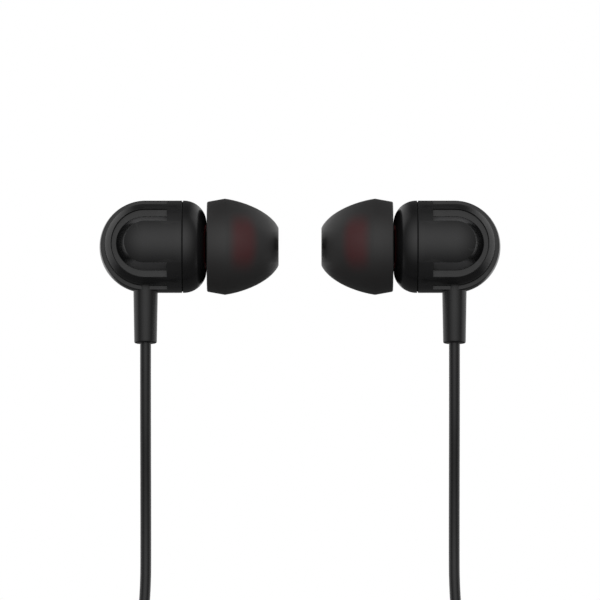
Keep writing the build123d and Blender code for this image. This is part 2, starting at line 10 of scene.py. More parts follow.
import bmesh
import bpy
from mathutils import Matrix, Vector


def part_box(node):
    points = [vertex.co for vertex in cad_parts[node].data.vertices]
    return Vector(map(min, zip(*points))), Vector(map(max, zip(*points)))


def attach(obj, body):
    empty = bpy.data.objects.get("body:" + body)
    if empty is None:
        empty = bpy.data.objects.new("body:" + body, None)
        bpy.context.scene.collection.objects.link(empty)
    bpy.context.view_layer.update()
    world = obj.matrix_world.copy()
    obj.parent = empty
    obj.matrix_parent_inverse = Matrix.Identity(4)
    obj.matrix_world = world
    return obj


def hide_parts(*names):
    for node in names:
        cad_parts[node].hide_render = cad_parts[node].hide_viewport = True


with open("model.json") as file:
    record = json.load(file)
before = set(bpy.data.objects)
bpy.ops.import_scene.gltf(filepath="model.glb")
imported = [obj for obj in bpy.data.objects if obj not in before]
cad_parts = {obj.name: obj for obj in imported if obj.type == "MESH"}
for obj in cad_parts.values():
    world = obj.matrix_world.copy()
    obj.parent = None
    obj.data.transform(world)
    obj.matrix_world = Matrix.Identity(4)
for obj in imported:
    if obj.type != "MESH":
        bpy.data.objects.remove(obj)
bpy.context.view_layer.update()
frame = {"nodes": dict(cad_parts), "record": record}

nodes = frame["nodes"]
MM = 0.001

# Sizes read from the frame; the names in capitals are in millimetres.
TIP_BACK = 0.07  # the drawn tip starts this much further back than the CAD tip
housing_low, housing_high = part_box("left_rear_housing")
nose_low, nose_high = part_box("left_front_housing")
tip_low, tip_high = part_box("left_ear_tip")
relief_low, relief_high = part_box("left_strain_relief")
REAR_X = housing_low.x / MM
BODY_R = (housing_high.y - housing_low.y) / 2 / MM
TIP_R = (tip_high.y - tip_low.y) / 2 / MM
AXIS_Z = TIP_R
SEAM_REAR = (housing_high.x - housing_low.x) / MM
TIP_REAR = tip_low.x / MM - REAR_X - TIP_BACK
TIP_FRONT = tip_high.x / MM - REAR_X
RELIEF_END = -relief_low.y / MM
CORD_X = REAR_X + BODY_R

# Housing: the CAD design, except that the recess is redrawn by up to 0.17 mm, and the joint line is
# wider and is a shallow groove.
SEAM_GAP = 0.12
GROOVE_DEPTH = 0.16
RECESS_END = 8.475
RIDGE_OUTER = 5.04
RIDGE_INNER = 4.28
BULGE_FOOT = 3.36
BULGE_TOP = 2.64
LOWER_TERRACE = 1.41
UPPER_TERRACE = 3.33
REAR_PUSH = 0.25  # the bulge's foot is this much further out at the rear end of the U
EDGE = 0.12  # rounding of moulded edges
# Painted light: the paler colour of the recess flanks stands in for light falling on them.
FLANK_PAINTED_LIGHT = (0.11, 0.11, 0.112)
CHAMBER_R = 4.0
MOUTH_R = 5.10
DRIVER_SEAT = 9.15
SPIGOT_START = 10.15
SPIGOT_R = 5.08
FRONT_CHAMBER_R = 4.5
NOSE_FILLET = 2.84
FRONT_FACE = 13.385
NECK_R = 2.10
BARB_R = 2.35
BARB_START = 16.9
NOZZLE_END = 18.3
NOZZLE_BORE_R = 1.55
MESH_R = 1.80
MESH_THICK = 0.20
HOLE_PITCH = 0.32  # of the holes painted on the mesh, finer than the ones cut in it
HOLE_RADIUS = 0.3  # as a share of the pitch

# Strain relief and ear tip.
RELIEF_ROOT_R = 1.54
RELIEF_END_R = 1.415
RELIEF_EDGE = 0.25
RELIEF_SUNK = 0.9
TIP_WIDEST = 15.67
TIP_MARGIN = 0.01  # keeps the drawn dome inside the CAD dome
TIP_REAR_R = 5.62
TIP_WALL = 0.52
TIP_MOUTH_R = 2.34
TIP_BORE_R = 1.9
CORE_R = 3.0
CORE_BORE_R = 2.40
CORE_STEP = 18.6
CORE_FRONT = 19.625
CORE_REAR = 14.3

# Cords, in metres: diameters, and the CAD routes without the points inside the coils.
BRANCH_D = 0.00137
MAIN_D = 0.002
FLOOR_BRANCH = BRANCH_D / 2
FLOOR_MAIN = MAIN_D / 2
CTRL_Z = 0.0027
GRIP_Z = 0.00325
TURN_PITCH = 1.02
TIE_THICK = 0.00035
TIE_WIDTH = 0.003
COIL_STEPS = 20  # control points in a turn
RISE_ANGLE = 50  # degrees over which the cord climbs to the next layer
BRANCH_COIL = dict(
    x=-0.01153, y=-0.057, r_in=0.0056, r_out=0.0095, layers=2, turns=5, d=BRANCH_D,
    tie=-45, entry=165, leave=232,
)
MAIN_COIL = dict(
    x=0.0094, y=-0.123, r_in=0.00875, r_out=0.01425, layers=4, turns=11, d=MAIN_D,
    tie=-20, entry=170, leave=88,
)
BRANCH_START = [
    (CORD_X * MM, -0.0022, AXIS_Z * MM),
    (CORD_X * MM, -0.017, AXIS_Z * MM),
    (CORD_X * MM, -0.034, FLOOR_BRANCH),
    (CORD_X * MM, -0.045, FLOOR_BRANCH),
    (-0.021, -0.0545, FLOOR_BRANCH),
]
BRANCH_END = [
    (-0.0174, -0.0644, 0.0021),
    (-0.0122, -0.0669, 0.0019),
    (-0.0063, -0.0686, 0.0016),
    (-0.0023, -0.0728, CTRL_Z),
    (-0.0023, -0.0786, CTRL_Z),
]
MAIN_START = [
    (0.0, -0.1048, CTRL_Z),
    (0.0, -0.1100, CTRL_Z),
    (-0.0024, -0.1152, FLOOR_MAIN),
    (-0.0045, -0.1202, FLOOR_MAIN),
]
MAIN_END = [
    (0.0101, -0.1088, 0.0071),
    (0.0057, -0.1093, 0.0072),
    (0.0014, -0.1111, 0.0074),
    (-0.0043, -0.1096, 0.0067),
    (-0.0073, -0.1044, 0.0049),
    (-0.0073, -0.0960, 0.0023),
    (-0.0115, -0.0918, 0.0013),
    (-0.0175, -0.0918, 0.0015),
    (-0.0217, -0.0960, GRIP_Z),
    (-0.0217, -0.1018, GRIP_Z),
]

# Light: radiances, and leans towards +Y in radians.
BOX_GLOW = 1.0
BOX_FADE = 3.0
BOX_LEAN = radians(15)
WALL_GLOW = 0.75
WALL_LEAN = radians(17)
DARK = 0.085


# Camera, floor and light.
def add_camera():
    """Long-lens camera over the buds, seven degrees off straight down, 75 mm across the view."""
    distance, elevation, field, middle_y = 1.2, radians(83), 0.075, -0.00671
    target = Vector((0, middle_y, AXIS_Z * MM))
    data = bpy.data.cameras.new("camera")
    data.sensor_width = 36
    data.lens = data.sensor_width * distance / field
    data.clip_start, data.clip_end = 0.01, 100
    camera = bpy.data.objects.new("camera", data)
    bpy.context.scene.collection.objects.link(camera)
    camera.location = target + distance * Vector((0, -cos(elevation), sin(elevation)))
    camera.rotation_euler = (target - camera.location).to_track_quat("-Z", "Y").to_euler()
    bpy.context.scene.camera = camera


def math_node(tree, operation, first, second=None):
    """One math node; each operand is a socket or a number."""
    node = tree.nodes.new("ShaderNodeMath")
    node.operation = operation
    for place, operand in enumerate((first, second)):
        if isinstance(operand, bpy.types.NodeSocket):
            tree.links.new(operand, node.inputs[place])
        elif operand is not None:
            node.inputs[place].default_value = operand
    return node.outputs["Value"]


def vector_node(tree, operation, first, second=(0, 0, 0)):
    """One vector math node on a socket and a constant vector."""
    node = tree.nodes.new("ShaderNodeVectorMath")
    node.operation = operation
    tree.links.new(first, node.inputs[0])
    node.inputs[1].default_value = second
    return node.outputs["Value" if operation == "DOT_PRODUCT" else "Vector"]


def side_light(tree, direction):
    """Brightness of the long white walls left and right, from the heading of a ray."""
    heading = vector_node(tree, "NORMALIZE", vector_node(tree, "MULTIPLY", direction, (1, 1, 0)))
    split = tree.nodes.new("ShaderNodeSeparateXYZ")
    tree.links.new(heading, split.inputs["Vector"])
    across = math_node(tree, "ABSOLUTE", split.outputs["X"])
    lean = math_node(tree, "MULTIPLY", split.outputs["Y"], sin(WALL_LEAN))
    facing = math_node(tree, "ADD", math_node(tree, "MULTIPLY", across, cos(WALL_LEAN)), lean)
    return soften(tree, facing, 0.5, 0.95, 0.0, WALL_GLOW)


def soften(tree, source, from_low, from_high, low, high):
    """Smooth step between two values."""
    node = tree.nodes.new("ShaderNodeMapRange")
    node.interpolation_type = "SMOOTHSTEP"
    for name, value in zip(("From Min", "From Max", "To Min", "To Max"), (from_low, from_high, low, high)):
        node.inputs[name].default_value = value
    tree.links.new(source, node.inputs["Value"])
    return node.outputs["Result"]


def add_floor():
    """Plain white floor that glows. The object neither reflects it nor is lit by it."""
    half = 20
    corners = [(-half, -half, 0), (half, -half, 0), (half, half, 0), (-half, half, 0)]
    mesh = bpy.data.meshes.new("floor")
    mesh.from_pydata(corners, [], [(0, 1, 2, 3)])
    floor = bpy.data.objects.new("floor", mesh)
    bpy.context.scene.collection.objects.link(floor)
    floor.visible_diffuse = False
    floor.visible_glossy = False
    floor.visible_transmission = False
    floor.visible_shadow = False
    material, tree, shader = shader_of("white_floor")
    shader.inputs["Base Color"].default_value = (0, 0, 0, 1)
    shader.inputs["Specular IOR Level"].default_value = 0.0
    shader.inputs["Emission Color"].default_value = (1, 1, 1, 1)
    shader.inputs["Emission Strength"].default_value = 1.0
    mesh.materials.append(material)


def light_scene():
    """Broad overhead light that fades outwards, low white walls at the sides, a faint glow all round."""
    scene = bpy.context.scene
    scene.view_settings.view_transform = "Standard"
    world = bpy.data.worlds.new("world")
    world.use_nodes = True
    tree = world.node_tree
    coords = tree.nodes.new("ShaderNodeTexCoord")
    direction = coords.outputs["Generated"]
    centre = (0, sin(BOX_LEAN), cos(BOX_LEAN))
    toward = math_node(tree, "MAXIMUM", vector_node(tree, "DOT_PRODUCT", direction, centre), 0.0)
    overhead = math_node(tree, "MULTIPLY", math_node(tree, "POWER", toward, BOX_FADE), BOX_GLOW)
    split = tree.nodes.new("ShaderNodeSeparateXYZ")
    tree.links.new(direction, split.inputs["Vector"])
    low_down = soften(tree, split.outputs["Z"], 0.0, 0.4, 1.0, 0.0)
    walls = math_node(tree, "MULTIPLY", side_light(tree, direction), low_down)
    total = math_node(tree, "ADD", math_node(tree, "ADD", overhead, walls), DARK)
    tree.links.new(total, tree.nodes["Background"].inputs["Strength"])
    tree.nodes["Background"].inputs["Color"].default_value = (1, 1, 1, 1)
    scene.world = world


# Materials. Most have a fine grain in their bump, and a slow drift in colour and roughness.
def shader_of(name):
    material = bpy.data.materials.new(name)
    material.use_nodes = True
    return material, material.node_tree, material.node_tree.nodes["Principled BSDF"]


def noise(tree, scale, detail=3.0, stretch=None):
    """Noise in object coordinates; stretch scales it along X, Y and Z."""
    coords = tree.nodes.new("ShaderNodeTexCoord")
    texture = tree.nodes.new("ShaderNodeTexNoise")
    texture.inputs["Scale"].default_value = scale
    texture.inputs["Detail"].default_value = detail
    source = coords.outputs["Object"]
    if stretch:
        mapping = tree.nodes.new("ShaderNodeMapping")
        mapping.inputs["Scale"].default_value = stretch
        tree.links.new(source, mapping.inputs["Vector"])
        source = mapping.outputs["Vector"]
    tree.links.new(source, texture.inputs["Vector"])
    return texture.outputs["Fac"]


def spread(tree, source, low, high, from_low=0.3, from_high=0.7):
    """Maps a 0 to 1 value onto a range."""
    node = tree.nodes.new("ShaderNodeMapRange")
    node.inputs["From Min"].default_value = from_low
    node.inputs["From Max"].default_value = from_high
    node.inputs["To Min"].default_value = low
    node.inputs["To Max"].default_value = high
    tree.links.new(source, node.inputs["Value"])
    return node.outputs["Result"]


def blend_colours(tree, factor, first, second):
    node = tree.nodes.new("ShaderNodeMix")
    node.data_type = "RGBA"
    node.inputs[6].default_value = (*first, 1)
    node.inputs[7].default_value = (*second, 1)
    tree.links.new(factor, node.inputs[0])
    return node.outputs[2]


def edge_wear(tree, colour, worn, amount=0.5):
    """Lightens convex edges, where handling polishes a moulding."""
    geometry = tree.nodes.new("ShaderNodeNewGeometry")
    mask = spread(tree, geometry.outputs["Pointiness"], 0.0, amount, 0.52, 0.60)
    return mix_over(tree, mask, colour, worn)


def finish_surface(name, dark, light, rough, grain, grain_mm, patch=120, metallic=0.0, worn=None, **sockets):
    """Material with drifting colour, drifting roughness and a fine grain as bump."""
    material, tree, shader = shader_of(name)
    drift = spread(tree, noise(tree, patch), 0, 1)
    colour = blend_colours(tree, drift, dark, light)
    if worn:
        colour = edge_wear(tree, colour, worn)
    tree.links.new(colour, shader.inputs["Base Color"])
    tree.links.new(spread(tree, noise(tree, patch * 4), *rough), shader.inputs["Roughness"])
    bump = tree.nodes.new("ShaderNodeBump")
    bump.inputs["Distance"].default_value = grain_mm * MM
    bump.inputs["Strength"].default_value = 1.0
    tree.links.new(noise(tree, grain, 2.0), bump.inputs["Height"])
    tree.links.new(bump.outputs["Normal"], shader.inputs["Normal"])
    shader.inputs["Metallic"].default_value = metallic
    for socket, value in sockets.items():
        shader.inputs[socket.replace("_", " ")].default_value = value
    return material


def mix_over(tree, factor, under, colour):
    """A constant colour laid over a socket's colour."""
    node = tree.nodes.new("ShaderNodeMix")
    node.data_type = "RGBA"
    tree.links.new(factor, node.inputs[0])
    tree.links.new(under, node.inputs[6])
    node.inputs[7].default_value = (*colour, 1)
    return node.outputs[2]


def housing_plastic():
    """Satin black, with a dull dark joint line; the steep sideways-facing flanks of the recess are duller
    and carry painted light, a paler colour standing in for light falling on them.
    """
    material = finish_surface(
        "housing_plastic", (0.011, 0.011, 0.0115), (0.014, 0.014, 0.0145), (0.20, 0.26), 9000, 0.002,
        worn=(0.03, 0.03, 0.031),
    )
    tree = material.node_tree
    shader = tree.nodes["Principled BSDF"]
    coords = tree.nodes.new("ShaderNodeTexCoord")
    place = tree.nodes.new("ShaderNodeSeparateXYZ")
    tree.links.new(coords.outputs["Object"], place.inputs["Vector"])
    geometry = tree.nodes.new("ShaderNodeNewGeometry")
    facing = tree.nodes.new("ShaderNodeSeparateXYZ")
    tree.links.new(geometry.outputs["True Normal"], facing.inputs["Vector"])
    sideways = math_node(tree, "ABSOLUTE", place.outputs["Y"])
    # Mask of the sideways-facing flanks of the recess: painted light in the colour, and a duller finish in
    # the roughness.
    flank_painted_light_and_matte = soften(tree, math_node(tree, "ABSOLUTE", facing.outputs["Y"]), 0.55, 0.85, 0, 1)
    within = soften(tree, sideways, 0.0019, 0.0026, 0, 1)
    below = math_node(tree, "LESS_THAN", sideways, (BULGE_FOOT + 0.05) * MM)
    along = math_node(tree, "ABSOLUTE", place.outputs["X"])
    beside = math_node(tree, "GREATER_THAN", along, -(REAR_X + RECESS_END) * MM)
    for limit in (within, below, beside):
        flank_painted_light_and_matte = math_node(tree, "MULTIPLY", flank_painted_light_and_matte, limit)
    joint_x = -(REAR_X + SEAM_REAR + SEAM_GAP / 2) * MM
    off_joint = math_node(tree, "SUBTRACT", along, joint_x)
    joint = math_node(tree, "LESS_THAN", math_node(tree, "ABSOLUTE", off_joint), (SEAM_GAP / 2 + 0.01) * MM)
    colour = shader.inputs["Base Color"].links[0].from_socket
    # Painted light: the flanks get a paler colour that stands in for light falling on them.
    colour = mix_over(tree, flank_painted_light_and_matte, colour, FLANK_PAINTED_LIGHT)
    tree.links.new(mix_over(tree, joint, colour, (0.001, 0.001, 0.001)), shader.inputs["Base Color"])
    rough = shader.inputs["Roughness"].links[0].from_socket
    dull = math_node(tree, "MAXIMUM", math_node(tree, "MULTIPLY", flank_painted_light_and_matte, 0.55), joint)
    tree.links.new(math_node(tree, "MAXIMUM", rough, dull), shader.inputs["Roughness"])
    return material


def button_plastic():
    return finish_surface(
        "button_plastic", (0.014, 0.014, 0.0145), (0.02, 0.02, 0.0205), (0.40, 0.50), 5000, 0.010,
        worn=(0.04, 0.04, 0.041),
    )


def driver_plastic():
    return finish_surface(
        "driver_plastic", (0.02, 0.02, 0.02), (0.03, 0.03, 0.03), (0.42, 0.52), 6000, 0.006
    )


def cord_jacket():
    return finish_surface(
        "cord_jacket", (0.012, 0.012, 0.0125), (0.016, 0.016, 0.0165), (0.24, 0.31), 4200, 0.001, patch=160
    )


def boot_rubber():
    return finish_surface(
        "boot_rubber", (0.012, 0.012, 0.0125), (0.016, 0.016, 0.0165), (0.25, 0.32), 6000, 0.001
    )


def silicone_core():
    return finish_surface(
        "silicone_core", (0.55, 0.012, 0.010), (0.62, 0.02, 0.016), (0.40, 0.50), 3500, 0.006
    )


def yoke_steel():
    return finish_surface(
        "yoke_steel", (0.50, 0.50, 0.50), (0.60, 0.60, 0.59), (0.25, 0.38), 5000, 0.004, metallic=1.0
    )


def magnet_plate():
    return finish_surface(
        "magnet_plate", (0.66, 0.65, 0.62), (0.74, 0.73, 0.70), (0.12, 0.22), 4000, 0.003, metallic=1.0
    )


def switch_metal():
    return finish_surface(
        "switch_metal", (0.55, 0.55, 0.54), (0.68, 0.68, 0.66), (0.22, 0.36), 6000, 0.003, metallic=1.0
    )


def ring_brass():
    return finish_surface(
        "ring_brass", (0.60, 0.42, 0.16), (0.68, 0.50, 0.22), (0.25, 0.38), 4000, 0.003, metallic=1.0
    )


def plug_gold():
    return finish_surface(
        "plug_gold", (0.78, 0.53, 0.20), (0.86, 0.62, 0.27), (0.14, 0.24), 7000, 0.0015, metallic=1.0
    )


def insulator():
    return finish_surface("insulator", (0.012, 0.012, 0.012), (0.02, 0.02, 0.02), (0.30, 0.42), 7000, 0.004)


def film():
    return finish_surface(
        "film", (0.62, 0.58, 0.42), (0.70, 0.66, 0.50), (0.10, 0.18), 2500, 0.004, Specular_IOR_Level=0.7
    )


def tie_coating():
    return finish_surface(
        "tie_coating", (0.013, 0.013, 0.013), (0.020, 0.020, 0.020), (0.38, 0.50), 3500, 0.010,
        worn=(0.035, 0.035, 0.035),
    )


def mesh_steel():
    """Perforated steel: fine round dark holes painted on a bright sheet, over the CAD mesh's own."""
    material = finish_surface(
        "mesh_steel", (0.30, 0.30, 0.30), (0.42, 0.42, 0.41), (0.28, 0.42), 8000, 0.004, metallic=1.0
    )
    tree = material.node_tree
    shader = tree.nodes["Principled BSDF"]
    coords = tree.nodes.new("ShaderNodeTexCoord")
    turned = tree.nodes.new("ShaderNodeMapping")
    turned.inputs["Rotation"].default_value = (0, pi / 2, 0)
    tree.links.new(coords.outputs["Object"], turned.inputs["Vector"])
    holes = tree.nodes.new("ShaderNodeTexVoronoi")
    holes.voronoi_dimensions = "2D"
    holes.inputs["Scale"].default_value = 1 / (HOLE_PITCH * MM)
    holes.inputs["Randomness"].default_value = 0.0
    tree.links.new(turned.outputs["Vector"], holes.inputs["Vector"])
    hole = math_node(tree, "LESS_THAN", holes.outputs["Distance"], HOLE_RADIUS)
    colour = shader.inputs["Base Color"].links[0].from_socket
    tree.links.new(mix_over(tree, hole, colour, (0.004, 0.004, 0.004)), shader.inputs["Base Color"])
    return material


def coil_copper():
    """Fine copper winding: grooves round the bud's axis."""
    material, tree, shader = shader_of("coil_copper")
    drift = spread(tree, noise(tree, 900), 0, 1)
    colour = blend_colours(tree, drift, (0.62, 0.25, 0.12), (0.74, 0.34, 0.17))
    tree.links.new(colour, shader.inputs["Base Color"])
    tree.links.new(spread(tree, noise(tree, 700), 0.24, 0.36), shader.inputs["Roughness"])
    shader.inputs["Metallic"].default_value = 1.0
    coords = tree.nodes.new("ShaderNodeTexCoord")
    wave = tree.nodes.new("ShaderNodeTexWave")
    wave.bands_direction = "X"
    wave.inputs["Scale"].default_value = 3500
    tree.links.new(coords.outputs["Object"], wave.inputs["Vector"])
    bump = tree.nodes.new("ShaderNodeBump")
    bump.inputs["Distance"].default_value = 0.02 * MM
    tree.links.new(wave.outputs["Fac"], bump.inputs["Height"])
    tree.links.new(bump.outputs["Normal"], shader.inputs["Normal"])
    return material


def circuit_board():
    """Green solder mask over faint copper tracks."""
    material, tree, shader = shader_of("circuit_board")
    coords = tree.nodes.new("ShaderNodeTexCoord")
    tracks = tree.nodes.new("ShaderNodeTexBrick")
    tracks.inputs["Scale"].default_value = 420
    tracks.inputs["Mortar Size"].default_value = 0.02
    tracks.inputs["Color1"].default_value = (0.010, 0.075, 0.026, 1)
    tracks.inputs["Color2"].default_value = (0.013, 0.090, 0.032, 1)
    tracks.inputs["Mortar"].default_value = (0.030, 0.150, 0.060, 1)
    tree.links.new(coords.outputs["Object"], tracks.inputs["Vector"])
    tree.links.new(tracks.outputs["Color"], shader.inputs["Base Color"])
    tree.links.new(spread(tree, noise(tree, 900), 0.20, 0.32), shader.inputs["Roughness"])
    bump = tree.nodes.new("ShaderNodeBump")
    bump.inputs["Distance"].default_value = 0.01 * MM
    tree.links.new(tracks.outputs["Fac"], bump.inputs["Height"])
    tree.links.new(bump.outputs["Normal"], shader.inputs["Normal"])
    return material


def silicone_dome():
    """Smoky silicone, thinner towards the front, with a soft red patch above and below the core that is a
    painted glow of the red core showing through, and painted shade round the mouth of the bore.
    """
    material = finish_surface(
        "silicone_dome", (0.040, 0.039, 0.039), (0.047, 0.046, 0.046), (0.34, 0.42), 3000, 0.006, IOR=1.42
    )
    tree = material.node_tree
    shader = tree.nodes["Principled BSDF"]
    coords = tree.nodes.new("ShaderNodeTexCoord")
    place = tree.nodes.new("ShaderNodeSeparateXYZ")
    tree.links.new(coords.outputs["Object"], place.inputs["Vector"])
    along = math_node(tree, "ABSOLUTE", place.outputs["X"])
    off_axis = math_node(tree, "ABSOLUTE", place.outputs["Y"])
    front = -(REAR_X + TIP_FRONT) * MM
    # Painted glow: a soft red tint above and below the core stands in for the red core showing through the
    # silicone, which is also made thinner there.
    glow_end = -(REAR_X + CORE_FRONT) * MM + 0.0003
    beside = math_node(tree, "MULTIPLY", off_axis, off_axis)
    bulging = math_node(tree, "MULTIPLY", beside, 55.0)
    inset = math_node(tree, "SUBTRACT", along, bulging)
    core_glow_painted = soften(tree, inset, glow_end - 0.0009, glow_end + 0.0006, 0, 1)
    core_glow_painted = math_node(tree, "MULTIPLY", core_glow_painted, soften(tree, along, glow_end + 0.0018, glow_end + 0.0034, 1, 0))
    core_glow_painted = math_node(tree, "MULTIPLY", core_glow_painted, soften(tree, off_axis, 0.0014, 0.0042, 1, 0))
    colour = shader.inputs["Base Color"].links[0].from_socket
    tree.links.new(mix_over(tree, core_glow_painted, colour, (0.105, 0.033, 0.035)), shader.inputs["Base Color"])
    # Painted shade: the lip round the mouth of the bore is darkened where the opening's shade shows.
    mouth_painted_shade = soften(tree, along, front + 0.0002, front + 0.0009, 0.85, 0)
    mouth_painted_shade = math_node(tree, "MULTIPLY", mouth_painted_shade, soften(tree, off_axis, 0.0004, 0.0011, 1, 0))
    colour = shader.inputs["Base Color"].links[0].from_socket
    tree.links.new(mix_over(tree, mouth_painted_shade, colour, (0.004, 0.003, 0.003)), shader.inputs["Base Color"])
    thin_front = soften(tree, along, front + 0.0003, front + 0.0022, 0.88, 0.985)
    opacity = math_node(tree, "SUBTRACT", thin_front, math_node(tree, "MULTIPLY", core_glow_painted, 0.13))
    tree.links.new(opacity, shader.inputs["Alpha"])
    return material


MATERIALS = {
    "housing_plastic": housing_plastic(),
    "silicone_dome": silicone_dome(),
    "silicone_core": silicone_core(),
    "cord_jacket": cord_jacket(),
    "boot_rubber": boot_rubber(),
    "mesh_steel": mesh_steel(),
    "driver_plastic": driver_plastic(),
    "yoke_steel": yoke_steel(),
    "magnet": magnet_plate(),
    "coil_copper": coil_copper(),
    "film": film(),
    "ring_brass": ring_brass(),
    "circuit_board": circuit_board(),
    "switch_metal": switch_metal(),
    "button_plastic": button_plastic(),
    "plug_gold": plug_gold(),
    "insulator": insulator(),
    "tie": tie_coating(),
}


def paint_cad_nodes():
    """Gives every CAD node the finish of its slot in the record."""
    slots = {part["node"]: part["material_slot"] for part in frame["record"]["subparts"]}
    for name, node in nodes.items():
        node.data.materials.clear()
        node.data.materials.append(MATERIALS[slots[name]])


# Mesh tools.
def arc(centre, radius, start, end, steps):
    """Points on a circle between two angles in degrees."""
    angles = [radians(start + (end - start) * i / steps) for i in range(steps + 1)]
    return [(centre[0] + radius * cos(a), centre[1] + radius * sin(a)) for a in angles]


def bezier(p0, p1, p2, p3, steps):
    """Points on a cubic curve."""
    points = []
    for i in range(steps + 1):
        t = i / steps
        weights = ((1 - t) ** 3, 3 * t * (1 - t) ** 2, 3 * t * t * (1 - t), t**3)
        points.append(tuple(sum(w * p[k] for w, p in zip(weights, (p0, p1, p2, p3))) for k in (0, 1)))
    return points


def rounded(corners, steps=5):
    """Outline in which each (x, y, r) corner becomes an arc of radius r; (x, y) points stay."""
    outline = []
    for i, corner in enumerate(corners):
        if len(corner) == 2:
            outline.append(corner)
            continue
        here = Vector(corner[:2])
        before = Vector(corners[i - 1][:2]) - here
        after = Vector(corners[(i + 1) % len(corners)][:2]) - here
        half = before.angle(after) / 2
        cut = min(corner[2] / tan(half), 0.45 * before.length, 0.45 * after.length)
        start = here + before.normalized() * cut
        end = here + after.normalized() * cut
        for k in range(steps + 1):
            t = k / steps
            outline.append(tuple((1 - t) ** 2 * start + 2 * t * (1 - t) * here + t * t * end))
    return outline


def add_mesh(name, vertices, faces, body, slot, replaced=(), bevel=0):
    """Smooth mesh object from points in metres, riding on a body and painted from its slot."""
    mesh = bpy.data.meshes.new(name)
    mesh.from_pydata(vertices, [], faces)
    edit = bmesh.new()
    edit.from_mesh(mesh)
    bmesh.ops.remove_doubles(edit, verts=edit.verts, dist=2e-7)
    bmesh.ops.recalc_face_normals(edit, faces=edit.faces)
    edit.to_mesh(mesh)
    edit.free()
    piece = bpy.data.objects.new(name, mesh)
    bpy.context.scene.collection.objects.link(piece)
    if bevel:
        rounding = piece.modifiers.new("edges", "BEVEL")
        rounding.width = bevel * MM
        rounding.segments = 3
        rounding.limit_method = "ANGLE"
        rounding.angle_limit = radians(35)
        rounding.use_clamp_overlap = True
    for face in mesh.polygons:
        face.use_smooth = True
    mesh.set_sharp_from_angle(angle=radians(50))
    mesh.materials.append(MATERIALS[slot])
    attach(piece, body)
    if replaced:
        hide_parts(*replaced)
    return piece


def in_bud(side, point):
    """Point of a bud's own frame, in metres, for the left (-1) or right (1) bud."""
    station, y, z = point
    return (-side * (REAR_X + station) * MM, y * MM, (AXIS_Z + z) * MM)


def lathe(outline, closed, segments=144):
    """Surface turned about the bud's axis from (station, radius) points."""
    vertices = []
    for k in range(segments):
        angle = 2 * pi * k / segments
        vertices += [(s, r * cos(angle), r * sin(angle)) for s, r in outline]
    count = len(outline)
    faces = []
    for k in range(segments):
        for i in range(count if closed else count - 1):
            j = (i + 1) % count
            here, there = k * count, (k + 1) % segments * count
            faces.append((here + i, here + j, there + j, there + i))
    return vertices, faces


def bud_piece(side, name, shape, body, slot, replaced, bevel=0):
    """Places a shape of the bud's own frame on one side, left or right."""
    word = "left" if side < 0 else "right"
    vertices, faces = shape
    placed = [in_bud(side, v) for v in vertices]
    return add_mesh(
        f"{word}_{name}_skin", placed, faces, body.format(word), slot, [f"{word}_{replaced}"], bevel
    )


# Housings.
def recess_outline():
    """Half section of the rear housing across the recess, from the top centre to the bottom one."""
    def on_body(half_width):
        return degrees(acos(half_width / BODY_R))

    height = {w: sqrt(BODY_R**2 - w**2) for w in (BULGE_TOP, RIDGE_INNER, RIDGE_OUTER)}
    rim_angle = degrees(asin(LOWER_TERRACE / BODY_R))
    rim_w = BODY_R * cos(radians(rim_angle))
    upper = arc((0, 0), BODY_R, 90, on_body(BULGE_TOP) + 1, 10)
    upper += [
        (BULGE_TOP, height[BULGE_TOP], 0.22),
        (BULGE_FOOT, UPPER_TERRACE, 0.15),
        (RIDGE_INNER, UPPER_TERRACE, 0.12),
        (RIDGE_INNER, height[RIDGE_INNER], EDGE),
    ]
    upper += arc((0, 0), BODY_R, on_body(RIDGE_INNER) - 1.6, on_body(RIDGE_OUTER) + 1.6, 4)
    upper += [
        (RIDGE_OUTER, height[RIDGE_OUTER], EDGE),
        (RIDGE_OUTER, LOWER_TERRACE, 0.12),
        (rim_w, LOWER_TERRACE, EDGE),
    ]
    upper += arc((0, 0), BODY_R, rim_angle - 1.6, 0, 4)
    outline = rounded(upper)
    return outline + [(w, -z) for w, z in reversed(outline[:-1])]


def recess_sweep(half):
    """The recess section swept round a U."""
    count = len(half)
    sweep = [(RECESS_END - (RECESS_END - BODY_R) * i / 3, 0.0) for i in range(3)]
    turns = 96
    path = [(station, -90.0) for station, _ in sweep]
    path += [(BODY_R, -90 - 180 * i / turns) for i in range(turns + 1)]
    path += [(station, -270.0) for station, _ in reversed(sweep)]
    vertices = []
    for station, angle in path:
        across = radians(angle)
        push = REAR_PUSH * max(0.0, -cos(across)) ** 2
        for w, z in half:
            if BULGE_TOP + 0.2 < w < RIDGE_INNER - 0.2:
                w += push
            vertices.append((station + w * cos(across), w * sin(across), z))
    faces = []
    for k in range(len(path) - 1):
        for i in range(count - 1):
            a, b = k * count + i, (k + 1) * count + i
            faces.append((a, a + 1, b + 1, b))
    return vertices, faces


def all_round(half):
    """A half section and its mirror image as one loop of (y, z) points."""
    return [(-w, z) for w, z in half] + [(w, z) for w, z in reversed(half[1:-1])]


